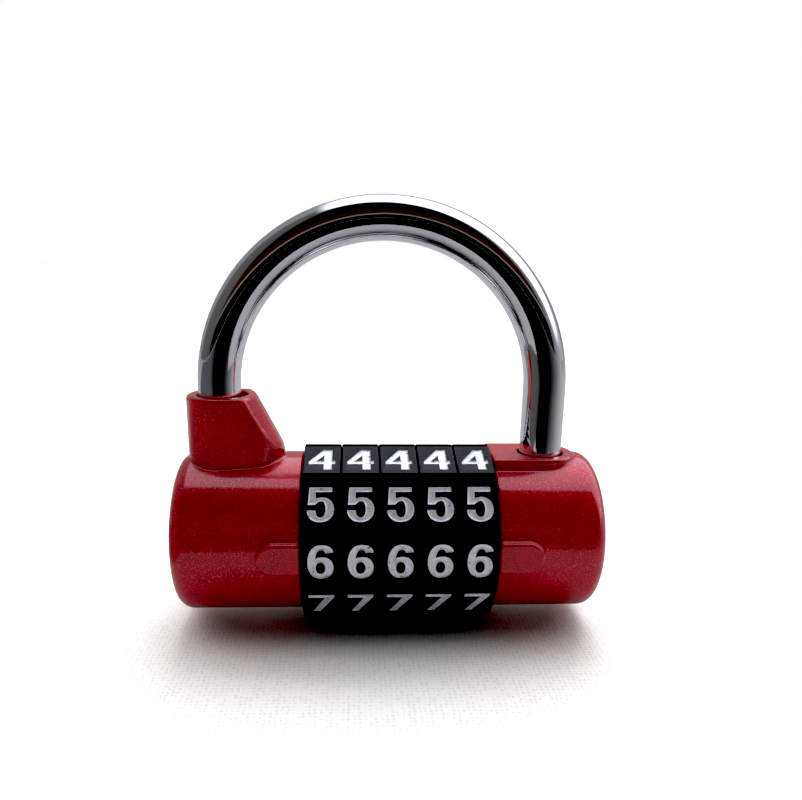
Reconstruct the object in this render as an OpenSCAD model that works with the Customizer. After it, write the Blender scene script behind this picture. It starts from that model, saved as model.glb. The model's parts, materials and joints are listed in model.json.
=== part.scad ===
// Combination padlock with five number dials on a horizontal barrel body and a U-shaped shackle.
// Millimetres. X runs along the body from the captive leg to the toe, -Y faces the reader of the
// dials, and +Z runs up the shackle. The origin is under the middle of the lock, on the ground.

/* [Body] */
// Overall length over the end plug
overall_length = 80; // [76:0.5:90]
// Radius of the cylindrical body
body_r = 15.25; // [14.5:0.05:15.6]
// Radius of the rounding at each end of the body
body_end_r = 2.8; // [1.5:0.1:4]
// Height of the body's axis above the ground the lock stands on
axis_height = 17; // [16.8:0.05:17.1]
// Height of the flat pad round the toe's hole above the body's axis
pad_height = 15.8; // [15.6:0.1:17]
// Half the width of the flat pad
pad_half_width = 6.3; // [5.8:0.1:8]
// Height of the shackle collar above the body's axis
collar_height = 27; // [24:0.5:27]
// Outer radius of the shackle collar
collar_r = 6.2; // [5.8:0.1:7]
// How far the index bosses stand in front of the body's axis
index_reach = 16.05; // [15.7:0.05:16.3]
// Half the height of the index bosses
index_half_height = 3; // [2:0.1:4]
// How far the end plug stands out of the end face
plug_rise = 0.55; // [0.2:0.05:1]

/* [Dials] */
// Distance from one dial to the next along the body
dial_pitch = 7.12; // [7:0.02:7.2]
// Position of the middle dial along the body
dial_middle_x = 1.45; // [0.5:0.05:2]
// Distance from the axis to the flat number faces
dial_flat_r = 16.38; // [16:0.02:16.6]
// Distance from the axis to the floor of the grooves between the number faces
groove_floor_r = 15.9; // [15.6:0.05:16.7]
// Chamfer on the two side edges of a dial
dial_chamfer = 0.3; // [0.1:0.05:0.5]
// Depth of the recessed numerals
numeral_depth = 0.3; // [0.2:0.05:0.5]
// How far the paint in the numerals lies below the number faces
paint_drop = 0.1; // [0.05:0.05:0.15]
// The digit that faces the reader
digit_shown = 6; // [0:1:9]

/* [Shackle] */
// Radius of the shackle's rod
rod_r = 4; // [3.9:0.01:4]
// Distance between the shackle's two legs, centre to centre
leg_span = 61.4; // [58:0.1:62]
// Position of the captive leg along the body
captive_x = -32; // [-32.5:0.1:-31]
// Height above the body's axis at which the arch begins
arch_height = 28.3; // [27.5:0.1:60]
// How far the captive leg reaches below the body's axis
captive_depth = 12.6; // [12.4:0.1:12.8]
// How far the toe reaches below the body's axis
toe_depth = 6; // [5.5:0.1:6.5]
// Radius of the toe's hole
toe_hole_r = 4.4; // [4.3:0.05:4.6]
// Travel of the shackle, enough to lift the toe out of its hole
shackle_lift = 23; // [22.7:0.1:23]

/* [Mechanism] */
// Outer radius of the tube that carries the dials
tube_r = 6.2; // [6:0.05:6.4]
// Radius of the tube's bore
tube_bore_r = 4; // [3.8:0.05:4.2]
// Radial clearance of the parts that slide or turn on each other
running_gap = 0.05; // [0.02:0.01:0.08]
// Travel of the spindle from drawn back to locked
spindle_travel = 2.6; // [2.5:0.05:2.7]
// Thickness of the spindle's fins and of the rings' flanges
fin_thickness = 1; // [0.9:0.05:1]
// Width of the spindle's fins
fin_width = 2.4; // [2:0.1:2.6]
// Reach of the spindle's fins from the axis
fin_reach = 7.8; // [7.4:0.1:7.9]
// Radius of the code rings' outside
ring_r = 12; // [11.5:0.1:12.4]
// Radius of the code rings' hollow, which the fins pass through
ring_hollow_r = 8.2; // [8.1:0.05:8.5]
// Radius of the spindle's nose
nose_r = 2.4; // [2:0.1:2.5]
// Depth of the notch in the toe
notch_depth = 2; // [1.5:0.1:2.2]

/* [Hidden] */

$fn = 96;

dial_count = 5;
facets = 10;
facet_angle = 360 / facets;
dial_width = dial_pitch - 0.12;
dial_bore_r = ring_r + running_gap;
group_left = dial_middle_x - dial_count * dial_pitch / 2;
group_right = dial_middle_x + dial_count * dial_pitch / 2;
side_gap = 0.1;
left_face = group_left - side_gap;
right_face = group_right + side_gap;
body_left = -overall_length / 2;
body_right = overall_length / 2 - plug_rise;

// the dials are the lowest pieces, and rest on the rims of the groove that points down
corner_groove_width = 2 * (dial_flat_r / cos(facet_angle / 2) - axis_height) / tan(facet_angle / 2);

toe_x = captive_x + leg_span;
arch_r = leg_span / 2;

washer_thickness = 0.5;
washer_recess = 0.45;
washer_r = 11.4;
washer_hole_r = tube_r + 0.15;

tube_left = group_left - 7.6;
tube_right = group_right + 4;
fin_slot_width = fin_width + 0.2;
strip_seat_width = 3.2;
strip_seat_depth = 0.8;

cross_pin_r = 1;
cross_pin_left_x = group_left - 4;
cross_pin_right_x = group_right + 2.2;
cross_pin_z = -tube_r;
cross_pin_front = -7;
cross_pin_back = 13;

spring_wire_r = 0.35;
spring_mean_r = 2.7;
spring_turns = 5;
spring_seat_x = captive_x + 5.3;
spring_pocket_r = 3.6;
spindle_left = -20;
pilot_r = 2.1;
pilot_length = 2.6;
nose_gap = 0.8;
nose_left = tube_right - 1.5;

shackle_pin_r = 1.25;
shackle_pin_z = 13.1;
flat_depth = 1.1;
shackle_pin_tip = captive_x + rod_r - flat_depth + 0.1;
stop_gap = 0.15;

plug_r = 2.5;
plug_length = 4;

spline_count = 10;
spline_width = 1.6;
spline_height = 0.8;

function dial_x(i) = dial_middle_x + (i - (dial_count + 1) / 2) * dial_pitch;
function digit_angle(d) = (digit_shown - d) * facet_angle;

// everything is laid out about the body's axis and lifted here to stand on the ground
module on_axis() translate([0, 0, axis_height]) children();

// a rod on the X axis between two places, given in either order
module rod_x(r, a, b) translate([min(a, b), 0, 0]) rotate([0, 90, 0]) cylinder(r = r, h = abs(b - a));

// a rod along +Z from z0 to z1
module rod_z(r, z0, z1) translate([0, 0, z0]) cylinder(r = r, h = z1 - z0);

// a rod along +Y from y0 to y1
module rod_y(r, y0, y1) translate([0, y0, 0]) rotate([-90, 0, 0]) cylinder(r = r, h = y1 - y0);

// a cylinder along +X whose far end is rounded
module rounded_end_rod(r, length, end_r)
    rotate([0, 90, 0]) rotate_extrude() union() {
        square([r, length - end_r]);
        square([r - end_r, length]);
        translate([r - end_r, length - end_r]) intersection() {
            circle(end_r);
            square(end_r);
        }
    }

// an upright boss whose plan is two circles joined by their common tangents
module tapered_boss(x0, r0, x1, r1, height) {
    lean = acos((r0 - r1) / (x1 - x0));
    linear_extrude(height) {
        translate([x0, 0]) circle(r0);
        translate([x1, 0]) circle(r1);
        polygon([
            [x0 + r0 * cos(lean), r0 * sin(lean)], [x1 + r1 * cos(lean), r1 * sin(lean)],
            [x1 + r1 * cos(lean), -r1 * sin(lean)], [x0 + r0 * cos(lean), -r0 * sin(lean)]]);
    }
}

// a flat-topped index boss on the front of the body, from its straight end to its round end
module index_boss(x_straight, x_round) {
    side = sign(x_round - x_straight);
    middle = x_round - side * index_half_height;
    translate([middle, 0, 0]) rod_y(index_half_height, -index_reach, -body_r / 2);
    translate([min(x_straight, middle), -index_reach, -index_half_height])
        cube([abs(middle - x_straight), index_reach - body_r / 2, 2 * index_half_height]);
}

// room for the tube and the washer in the face of a housing that looks towards the dials
module tube_seat(x_face, x_end) {
    side = sign(x_end - x_face);
    rod_x(tube_r + 0.02, x_face - side, x_end + side * 0.1);
    rod_x(washer_r + 0.15, x_face - side, x_face + side * washer_recess);
}

module cross_pin_hole(x) translate([x, 0, cross_pin_z]) rod_y(cross_pin_r, cross_pin_front, body_r + 1);

module left_housing() {
    collar_end_x = -25.9;
    ramp_foot_x = -20.2;
    ramp_slope = atan2(collar_height - body_r, ramp_foot_x - collar_end_x);
    ramp_half_width = 3.2;
    bevel_slope = 24;
    mouth_r = rod_r + 0.75;
    mouth_x = captive_x + 0.5;
    color("firebrick") on_axis() difference() {
        union() {
            translate([left_face, 0, 0]) mirror([1, 0, 0])
                rounded_end_rod(body_r, left_face - body_left, body_end_r);
            // collar, cut off by a ramp whose side edges are bevelled
            intersection() {
                tapered_boss(captive_x, collar_r, captive_x + 6.5, collar_r - 0.7, collar_height);
                translate([collar_end_x, 0, collar_height]) rotate([0, ramp_slope, 0])
                    translate([-40, 0, 0]) rotate([90, 0, 90]) linear_extrude(80) polygon([
                        [-ramp_half_width, 0], [ramp_half_width, 0],
                        [ramp_half_width + 30, -30 * tan(bevel_slope)],
                        [-ramp_half_width - 30, -30 * tan(bevel_slope)]]);
            }
            index_boss(left_face, -24.3);
        }
        // captive leg's bore and its wider mouth
        translate([captive_x, 0, 0]) rod_z(rod_r + running_gap, -captive_depth - 0.4, collar_height + 1);
        translate([mouth_x, 0, 0]) rod_z(mouth_r, collar_height - 2, collar_height + 1);
        tube_seat(left_face, tube_left);
        rod_x(spring_pocket_r, spring_seat_x, tube_left + 1);
        cross_pin_hole(cross_pin_left_x);
        translate([0, 0, shackle_pin_z]) rod_x(shackle_pin_r, captive_x, left_face + 1);
    }
}

module right_housing() {
    color("firebrick") on_axis() difference() {
        union() {
            translate([right_face, 0, 0]) rounded_end_rod(body_r, body_right - right_face, body_end_r);
            // pad round the toe's hole
            translate([right_face, -pad_half_width, 0])
                cube([toe_x - right_face + 0.2, 2 * pad_half_width, pad_height]);
            translate([toe_x + 0.2, 0, 0]) rod_z(pad_half_width, 0, pad_height);
            index_boss(right_face, 27.5);
        }
        // toe's hole with a small lead-in
        translate([toe_x, 0, 0]) {
            rod_z(toe_hole_r, -toe_depth - 1, pad_height + 1);
            translate([0, 0, pad_height - 0.4]) cylinder(r1 = toe_hole_r, r2 = toe_hole_r + 0.45, h = 0.45);
        }
        tube_seat(right_face, tube_right);
        // the nose's guide, drilled through from the end face
        rod_x(nose_r + running_gap, tube_right, toe_x);
        rod_x(plug_r, body_right - plug_length - 0.1, body_right + 1);
        rod_x(nose_r + running_gap, toe_x, body_right - plug_length);
        cross_pin_hole(cross_pin_right_x);
    }
}

module core_tube() {
    color("lightgrey") on_axis() difference() {
        rod_x(tube_r, tube_left, tube_right);
        rod_x(tube_bore_r, tube_left - 1, tube_right + 1);
        // slot for the fins, open at the left so that the spindle can be slid in
        translate([tube_left - 1, -fin_slot_width / 2, 0])
            cube([dial_x(dial_count) + 4 - tube_left, fin_slot_width, tube_r + 1]);
        // seat of the detent strip
        translate([dial_x(1) - 3.4, -strip_seat_width / 2, -tube_r - 1])
            cube([dial_x(dial_count) - dial_x(1) + 6.8, strip_seat_width, strip_seat_depth + 1]);
        for (x = [cross_pin_left_x, cross_pin_right_x]) cross_pin_hole(x);
    }
}

module tube_pins() {
    color("silver") on_axis() for (x = [cross_pin_left_x, cross_pin_right_x])
        translate([x, 0, cross_pin_z]) rod_y(cross_pin_r, cross_pin_front, cross_pin_back);
}

module thrust_washers() {
    color("silver") on_axis() for (x = [left_face - washer_recess, right_face + washer_recess - washer_thickness])
        difference() {
            rod_x(washer_r, x, x + washer_thickness);
            rod_x(washer_hole_r, x - 1, x + washer_thickness + 1);
        }
}

// one spring strip with a pressed bump beside each ring's flange
module detent_leaf() {
    thickness = 0.4;
    width = strip_seat_width - 0.4;
    top_z = -tube_r + strip_seat_depth;
    tip_z = -ring_hollow_r + 0.1;
    half = 1.25;
    color("silver") on_axis() translate([0, width / 2, 0]) rotate([90, 0, 0]) linear_extrude(width)
        difference() {
            union() {
                translate([dial_x(1) - 3.2, top_z - thickness])
                    square([dial_x(dial_count) - dial_x(1) + 6.4, thickness]);
                for (i = [1 : dial_count]) translate([dial_x(i) + 1.9, 0])
                    polygon([[-half, top_z], [-0.45, tip_z], [0.45, tip_z], [half, top_z]]);
            }
            for (i = [1 : dial_count]) translate([dial_x(i) + 1.9, 0]) polygon([
                [-half + 0.45, top_z + 0.1], [-0.2, tip_z + thickness],
                [0.2, tip_z + thickness], [half - 0.45, top_z + 0.1]]);
        }
}

// ten flats with chamfered side edges and a groove at each corner: five slabs crossed, then cut
module dial_blank() {
    half = dial_width / 2;
    difference() {
        intersection_for(k = [0 : facets / 2 - 1]) rotate([k * facet_angle, 0, 0])
            translate([0, 0, -25]) linear_extrude(50) polygon([
                [-half, -dial_flat_r + dial_chamfer], [-half + dial_chamfer, -dial_flat_r],
                [half - dial_chamfer, -dial_flat_r], [half, -dial_flat_r + dial_chamfer],
                [half, dial_flat_r - dial_chamfer], [half - dial_chamfer, dial_flat_r],
                [-half + dial_chamfer, dial_flat_r], [-half, dial_flat_r - dial_chamfer]]);
        for (k = [0 : facets - 1]) rotate([k * facet_angle, 0, 0])
            translate([-half - 1, -corner_groove_width / 2, groove_floor_r])
                cube([dial_width + 2, corner_groove_width, 2]);
    }
}

// a rectangle with rounded corners
module rounded(w, h, r) {
    for (x = [-1, 1], y = [-1, 1]) translate([x * (w / 2 - r), y * (h / 2 - r)]) circle(r, $fn = 32);
    square([w, h - 2 * r], center = true);
    square([w - 2 * r, h], center = true);
}

// a closed stroke with rounded corners
module loop(w, h, stroke = 1.2) difference() {
    rounded(w, h, 1.7);
    rounded(w - 2 * stroke - 0.1, h - 2 * stroke + 0.1, 0.55);
}

// bold upright digits, 4.8 wide and 6.4 tall, centred
module digit(d) {
    if (d == 0) loop(4.8, 6.4);
    if (d == 1) polygon([[0.1, 3.2], [1.1, 3.2], [1.1, -3.2], [-0.2, -3.2], [-0.2, 1.4], [-1.6, 1.4], [-1.6, 2.3]]);
    if (d == 2) {
        difference() {
            translate([0, 1.1]) loop(4.7, 4.2);
            translate([-3, -2]) square([4, 3.4]);
            translate([-3, -2]) square([6, 2.2]);
        }
        polygon([[2.3, 0.6], [2.3, 0.2], [-0.6, -2.1], [-2.4, -2.1], [-2.4, -1.9], [1, 0.9]]);
        translate([-2.4, -3.2]) square([4.8, 1.15]);
    }
    if (d == 3) difference() {
        union() {
            translate([0, 1.4]) loop(4.6, 3.6);
            translate([0, -1.25]) loop(4.8, 3.9);
        }
        translate([-3, -1.3]) square([2.2, 2.7]);
    }
    if (d == 4) difference() {
        union() {
            polygon([[0.1, 3.2], [1.6, 3.2], [1.6, -3.2], [0.35, -3.2], [0.35, -1.9], [-2.4, -1.9], [-2.4, -0.8]]);
            translate([1, -1.9]) square([1.4, 1.1]);
        }
        polygon([[0.35, -0.8], [0.35, 1.5], [-1.2, -0.8]]);
    }
    if (d == 5) {
        difference() {
            translate([0, -1.1]) loop(4.8, 4.2);
            translate([-3, -1.7]) square([2.1, 1.5]);
            translate([-3, -0.3]) square([1.2, 1.6]);
        }
        polygon([[-2.1, -0.3], [-1.8, 3.2], [2.1, 3.2], [2.1, 2.1], [-0.8, 2.1], [-0.95, 0.2], [-0.95, -0.3]]);
    }
    if (d == 6) {
        translate([0, -1.2]) loop(4.8, 4);
        difference() {
            loop(4.8, 6.4);
            translate([0, -4]) square([4, 5.6]);
            translate([-4, -4]) square([5, 3]);
        }
    }
    if (d == 7) polygon([[-2.3, 3.2], [2.4, 3.2], [2.4, 2.3], [-0.1, -3.2], [-1.6, -3.2], [0.8, 2.1], [-2.3, 2.1]]);
    if (d == 8) {
        translate([0, 1.45]) loop(4.5, 3.5);
        translate([0, -1.25]) loop(4.8, 3.9);
    }
    if (d == 9) rotate(180) digit(6);
}

// the ten digits round the axis, as solids between two distances from the axis
module digits(inner, outer)
    for (d = [0 : facets - 1]) rotate([-digit_angle(d), 0, 0]) rotate([90, 0, 0])
        translate([0, 0, inner]) linear_extrude(outer - inner) digit(d);

// the splines of a ring, or the slots they fit when given a gap
module spline_profile(r, gap) {
    circle(r);
    for (k = [0 : spline_count - 1]) rotate(k * 360 / spline_count)
        translate([r - 1, -spline_width / 2 - gap]) square([1 + spline_height, spline_width + 2 * gap]);
}

module dial(i) {
    color("#141416") on_axis() translate([dial_x(i), 0, 0]) difference() {
        dial_blank();
        translate([-dial_width, 0, 0]) rotate([0, 90, 0])
            linear_extrude(2 * dial_width) spline_profile(dial_bore_r, running_gap);
        digits(dial_flat_r - numeral_depth, dial_flat_r + 1);
    }
}

module numerals(i) {
    color("#c9ccd4") on_axis() translate([dial_x(i), 0, 0])
        digits(dial_flat_r - numeral_depth, dial_flat_r - paint_drop);
}

module code_ring(i) {
    color("goldenrod") on_axis() translate([dial_x(i), 0, 0]) difference() {
        translate([-dial_width / 2, 0, 0]) rotate([0, 90, 0]) linear_extrude(dial_width) spline_profile(ring_r, 0);
        rod_x(tube_r + running_gap, -dial_width, dial_width);
        for (side = [-1, 1]) rod_x(ring_hollow_r, side * fin_thickness / 2, side * dial_width);
        // gate for the fin
        translate([-dial_width, -fin_slot_width / 2, 0]) cube([2 * dial_width, fin_slot_width, ring_hollow_r]);
        // click notches for the detent strip
        for (k = [0 : facets - 1]) rotate([k * facet_angle, 0, 0]) translate([0, 0, -ring_hollow_r])
            rod_x(0.5, fin_thickness / 2 + 0.3, dial_width);
    }
}

// drawn back: the fins stand on the left of the flanges and the nose is clear of the toe
module spindle() {
    nose_tip = toe_x - rod_r - nose_gap;
    color("silver") on_axis() {
        rod_x(tube_bore_r - running_gap, spindle_left, nose_left - spindle_travel);
        rod_x(pilot_r, spindle_left - pilot_length, spindle_left + 1);
        rod_x(nose_r, nose_left - spindle_travel - 1, nose_tip - 1);
        translate([nose_tip - 1, 0, 0]) rotate([0, 90, 0]) cylinder(r1 = nose_r, r2 = nose_r - 1, h = 1);
        for (i = [1 : dial_count])
            translate([dial_x(i) - (spindle_travel + fin_thickness) / 2, -fin_width / 2, 0])
                cube([fin_thickness, fin_width, fin_reach]);
    }
}

// a closed-wound coil along +X, swept as rings of points
module spindle_spring() {
    sides = 10;
    steps = 20;
    length = spindle_left - spring_seat_x - 0.1;
    rise = (length - 2 * spring_wire_r) / spring_turns;
    rings = spring_turns * steps;
    points = [for (s = [0 : rings]) let (a = s * 360 / steps) for (k = [0 : sides - 1])
        let (b = k * 360 / sides, r = spring_mean_r + spring_wire_r * cos(b))
            [spring_wire_r + rise * s / steps + spring_wire_r * sin(b), r * cos(a), r * sin(a)]];
    walls = [for (s = [0 : rings - 1], k = [0 : sides - 1]) let (n = (k + 1) % sides)
        [s * sides + k, s * sides + n, (s + 1) * sides + n, (s + 1) * sides + k]];
    start = [for (k = [0 : sides - 1]) sides - 1 - k];
    end = [for (k = [0 : sides - 1]) rings * sides + k];
    color("silver") on_axis() translate([spring_seat_x + 0.05, 0, 0])
        polyhedron(points = points, faces = concat([start], walls, [end]), convexity = 8);
}

module shackle() {
    chamfer = 0.8;
    groove_z = shackle_pin_z - shackle_lift;
    groove_half = shackle_pin_r + stop_gap;
    notch_half = nose_r + 1.1;
    color("gainsboro") on_axis() difference() {
        union() {
            translate([captive_x + arch_r, 0, arch_height]) rotate([90, 0, 0])
                rotate_extrude(angle = 180) translate([arch_r, 0]) circle(rod_r);
            translate([captive_x, 0, 0]) {
                rod_z(rod_r, -captive_depth + chamfer, arch_height);
                translate([0, 0, -captive_depth]) cylinder(r1 = rod_r - chamfer, r2 = rod_r, h = chamfer);
            }
            translate([toe_x, 0, 0]) {
                rod_z(rod_r, -toe_depth + 1, arch_height);
                translate([0, 0, -toe_depth]) cylinder(r1 = rod_r - 1, r2 = rod_r, h = 1);
            }
        }
        // long flat and ring groove on the captive leg for the shackle pin
        translate([captive_x + rod_r - flat_depth, -rod_r - 1, groove_z])
            cube([rod_r, 2 * rod_r + 2, shackle_pin_z + groove_half - groove_z]);
        translate([captive_x, 0, groove_z]) difference() {
            rod_z(rod_r + 1, -groove_half, groove_half);
            rod_z(rod_r - flat_depth, -groove_half - 1, groove_half + 1);
        }
        // notch in the toe, with flanks at 45 degrees that push the spindle's nose back
        translate([toe_x - rod_r, rod_r + 1, 0]) rotate([90, 0, 0]) linear_extrude(2 * rod_r + 2) polygon([
            [-1, -notch_half - 1], [notch_depth, -notch_half + notch_depth],
            [notch_depth, notch_half - notch_depth], [-1, notch_half + 1]]);
    }
}

// pressed in from the face that the first dial hides, with its tip in the captive leg's flat
module shackle_pin() {
    color("silver") on_axis() translate([0, 0, shackle_pin_z])
        rod_x(shackle_pin_r - 0.01, shackle_pin_tip, left_face - 0.1);
}

module end_plug() {
    r = plug_r - 0.01;
    dome_r = (r * r + plug_rise * plug_rise) / (2 * plug_rise);
    color("firebrick") on_axis() translate([body_right - plug_length, 0, 0]) rotate([0, 90, 0])
        rotate_extrude() union() {
            square([r, plug_length]);
            intersection() {
                translate([0, plug_length + plug_rise - dome_r]) circle(dome_r, $fn = 360);
                translate([0, plug_length - 0.5]) square([r, 1.5]);
            }
        }
}

left_housing();
right_housing();
core_tube();
tube_pins();
thrust_washers();
detent_leaf();
dial(1);  // dial_1
dial(2);  // dial_2
dial(3);  // dial_3
dial(4);  // dial_4
dial(5);  // dial_5
numerals(1);  // numerals_1
numerals(2);  // numerals_2
numerals(3);  // numerals_3
numerals(4);  // numerals_4
numerals(5);  // numerals_5
code_ring(1);  // code_ring_1
code_ring(2);  // code_ring_2
code_ring(3);  // code_ring_3
code_ring(4);  // code_ring_4
code_ring(5);  // code_ring_5
spindle();
spindle_spring();
shackle();
shackle_pin();
end_plug();
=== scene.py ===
"""The looks of a five-dial combination padlock, laid over its CAD frame."""

import json
import math

import bmesh
import bpy
import numpy as np
from mathutils import Matrix, Vector
from mathutils.geometry import delaunay_2d_cdt


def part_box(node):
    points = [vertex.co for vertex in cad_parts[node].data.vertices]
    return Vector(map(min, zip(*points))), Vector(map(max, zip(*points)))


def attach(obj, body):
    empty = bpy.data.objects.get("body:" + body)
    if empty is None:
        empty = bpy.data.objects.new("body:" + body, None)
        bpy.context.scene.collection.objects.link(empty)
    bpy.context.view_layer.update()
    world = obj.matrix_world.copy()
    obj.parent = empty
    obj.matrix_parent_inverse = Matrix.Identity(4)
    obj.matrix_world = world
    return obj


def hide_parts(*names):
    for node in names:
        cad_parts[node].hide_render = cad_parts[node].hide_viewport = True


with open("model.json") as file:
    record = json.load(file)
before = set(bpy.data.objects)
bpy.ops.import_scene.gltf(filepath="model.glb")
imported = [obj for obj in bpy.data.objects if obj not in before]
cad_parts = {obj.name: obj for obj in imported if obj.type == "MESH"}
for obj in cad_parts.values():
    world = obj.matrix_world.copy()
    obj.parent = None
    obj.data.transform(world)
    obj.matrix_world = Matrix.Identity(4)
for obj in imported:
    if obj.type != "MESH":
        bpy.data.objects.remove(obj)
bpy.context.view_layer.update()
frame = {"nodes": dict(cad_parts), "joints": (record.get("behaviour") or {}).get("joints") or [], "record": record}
scene = bpy.context.scene

# Lengths below are in millimetres about the body's axis; PLACE takes them to the row frame.
MM = 0.001
AXIS_Z = frame["joints"][0]["pos_m"][2] / MM
PLACE = Matrix.Translation((0, 0, AXIS_Z * MM)) @ Matrix.Scale(MM, 4)

# The body's ends, the faces between which the dials stand, and the dials themselves.
BODY_R = 15.25
LEFT_END, RIGHT_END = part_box("left_housing")[0].x / MM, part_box("right_housing")[1].x / MM
LEFT_FACE, RIGHT_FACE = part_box("left_housing")[1].x / MM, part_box("right_housing")[0].x / MM
GROUP_LEFT, GROUP_RIGHT = LEFT_FACE + 0.1, RIGHT_FACE - 0.1
DIAL_NAMES = ["dial_%d" % i for i in range(1, 6)]
DIAL_X = [sum(c.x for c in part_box(name)) / 2 / MM for name in DIAL_NAMES]

# The shackle's two legs and its arch, the pin that holds it and the height to which it lifts.
CAPTIVE_X, TOE_X, ROD_R = -32.0, 29.4, 4.0
ARCH_X, ARCH_R, ARCH_Z = (CAPTIVE_X + TOE_X) / 2, (TOE_X - CAPTIVE_X) / 2, 28.3
PIN_Z, LIFT = 13.1, 23.0


# ---------------------------------------------------------------- nodes

def material(name, rough, metallic=0.0, **sockets):
    """A Principled material with its nodes, links and shader; the caller links the base colour."""
    m = bpy.data.materials.new(name)
    m.use_nodes = True
    bsdf = m.node_tree.nodes["Principled BSDF"]
    bsdf.inputs["Roughness"].default_value = rough
    bsdf.inputs["Metallic"].default_value = metallic
    for key, value in sockets.items():
        bsdf.inputs[key.replace("_", " ")].default_value = value
    return m, m.node_tree.nodes, m.node_tree.links, bsdf


def add(nodes, kind, **values):
    """A node whose settings and input defaults are given by name."""
    node = nodes.new(kind)
    for key, value in values.items():
        if hasattr(node, key):
            setattr(node, key, value)
        else:
            node.inputs[key.replace("_", " ")].default_value = value
    return node


def noise(nodes, links, scale, detail=2.0, rough=0.5, stretch=(1, 1, 1)):
    """Noise in object space, with scale in cycles per metre."""
    place = add(nodes, "ShaderNodeTexCoord")
    mapping = add(nodes, "ShaderNodeMapping")
    mapping.inputs["Scale"].default_value = stretch
    tex = add(nodes, "ShaderNodeTexNoise", Scale=scale, Detail=detail, Roughness=rough)
    links.new(place.outputs["Object"], mapping.inputs["Vector"])
    links.new(mapping.outputs["Vector"], tex.inputs["Vector"])
    return tex.outputs["Fac"]


def ramp(nodes, links, source, stops):
    """A colour ramp over source; stops are (position, colour) or (position, grey)."""
    node = nodes.new("ShaderNodeValToRGB")
    elements = node.color_ramp.elements
    while len(elements) < len(stops):
        elements.new(0.5)
    for element, (position, colour) in zip(elements, stops):
        element.position = position
        element.color = (*colour, 1) if isinstance(colour, tuple) else (colour, colour, colour, 1)
    links.new(source, node.inputs["Fac"])
    return node.outputs["Color"]


def blend(nodes, links, factor, a, b):
    """The colour a where factor is 0 and b where it is 1; each is a colour or a socket."""
    node = add(nodes, "ShaderNodeMix", data_type="RGBA")
    links.new(factor, node.inputs["Factor"])
    first_colour, second_colour, result = node.inputs[6], node.inputs[7], node.outputs[2]
    for socket, value in ((first_colour, a), (second_colour, b)):
        if isinstance(value, tuple):
            socket.default_value = (*value, 1)
        else:
            links.new(value, socket)
    return result


def bump(nodes, links, source, strength, distance, target=None, after=None):
    """A bump of source, in metres, laid over the normal after and linked to target."""
    node = add(nodes, "ShaderNodeBump", Strength=strength, Distance=distance)
    links.new(source, node.inputs["Height"])
    if after is not None:
        links.new(after, node.inputs["Normal"])
    if target is not None:
        links.new(node.outputs["Normal"], target)
    return node.outputs["Normal"]


def math_node(nodes, links, op, a, b=None):
    """A maths node; a and b are numbers or sockets."""
    node = nodes.new("ShaderNodeMath")
    node.operation = op
    for socket, value in zip(node.inputs, (a, b)):
        if isinstance(value, (int, float)):
            socket.default_value = value
        elif value is not None:
            links.new(value, socket)
    return node.outputs[0]


# ---------------------------------------------------------------- the lock's materials

def red_enamel():
    """Metallic red under a clear coat, with pink flakes that also roughen the coat."""
    m, nodes, links, bsdf = material(
        "red_enamel", 0.34, 0.3, Coat_Weight=1.0, Coat_Roughness=0.08, Coat_IOR=1.5)
    flake = noise(nodes, links, 3800, 1.5, 0.6)
    cloud = noise(nodes, links, 260, 3, 0.55)
    deep = ramp(nodes, links, cloud, [(0.3, (0.37, 0.001, 0.006)), (0.7, (0.46, 0.002, 0.010))])
    spark = ramp(nodes, links, flake, [(0.57, 0.0), (0.76, 1.0)])
    links.new(blend(nodes, links, spark, deep, (0.95, 0.12, 0.24)), bsdf.inputs["Base Color"])
    links.new(ramp(nodes, links, flake, [(0.3, 0.42), (0.7, 0.26)]), bsdf.inputs["Roughness"])
    bump(nodes, links, flake, 0.22, 0.00003, bsdf.inputs["Normal"])
    peel = noise(nodes, links, 900, 1, 0.5)
    waves = bump(nodes, links, peel, 0.05, 0.00003)
    bump(nodes, links, flake, 0.075, 0.00002, bsdf.inputs["Coat Normal"], waves)
    return m


def black_enamel():
    """The dials' satin black, a little cloudy."""
    m, nodes, links, bsdf = material("black_enamel", 0.3, 0.0, Specular_IOR_Level=0.14)
    grain = noise(nodes, links, 5200, 2, 0.6)
    cloud = noise(nodes, links, 380, 3, 0.55)
    colour = ramp(nodes, links, grain, [(0.35, (0.012, 0.0125, 0.015)), (0.80, (0.026, 0.026, 0.029))])
    links.new(colour, bsdf.inputs["Base Color"])
    links.new(ramp(nodes, links, cloud, [(0.3, 0.22), (0.7, 0.32)]), bsdf.inputs["Roughness"])
    bump(nodes, links, grain, 0.12, 0.00002, bsdf.inputs["Normal"])
    return m


def silver_paint():
    """The numerals' grainy fill, with a few dark blots where it is thin."""
    m, nodes, links, bsdf = material("silver_paint", 0.34, 0.5)
    grain = noise(nodes, links, 4200, 2, 0.6)
    blot = noise(nodes, links, 1100, 2, 0.6)
    colour = ramp(nodes, links, blot, [
        (0.27, (0.12, 0.12, 0.14)), (0.33, (0.72, 0.74, 0.80)),
        (0.5, (0.86, 0.88, 0.92)), (0.8, (0.93, 0.94, 0.97))])
    links.new(colour, bsdf.inputs["Base Color"])
    links.new(ramp(nodes, links, grain, [(0.3, 0.42), (0.7, 0.54)]), bsdf.inputs["Roughness"])
    bump(nodes, links, grain, 0.35, 0.00003, bsdf.inputs["Normal"])
    return m


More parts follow.
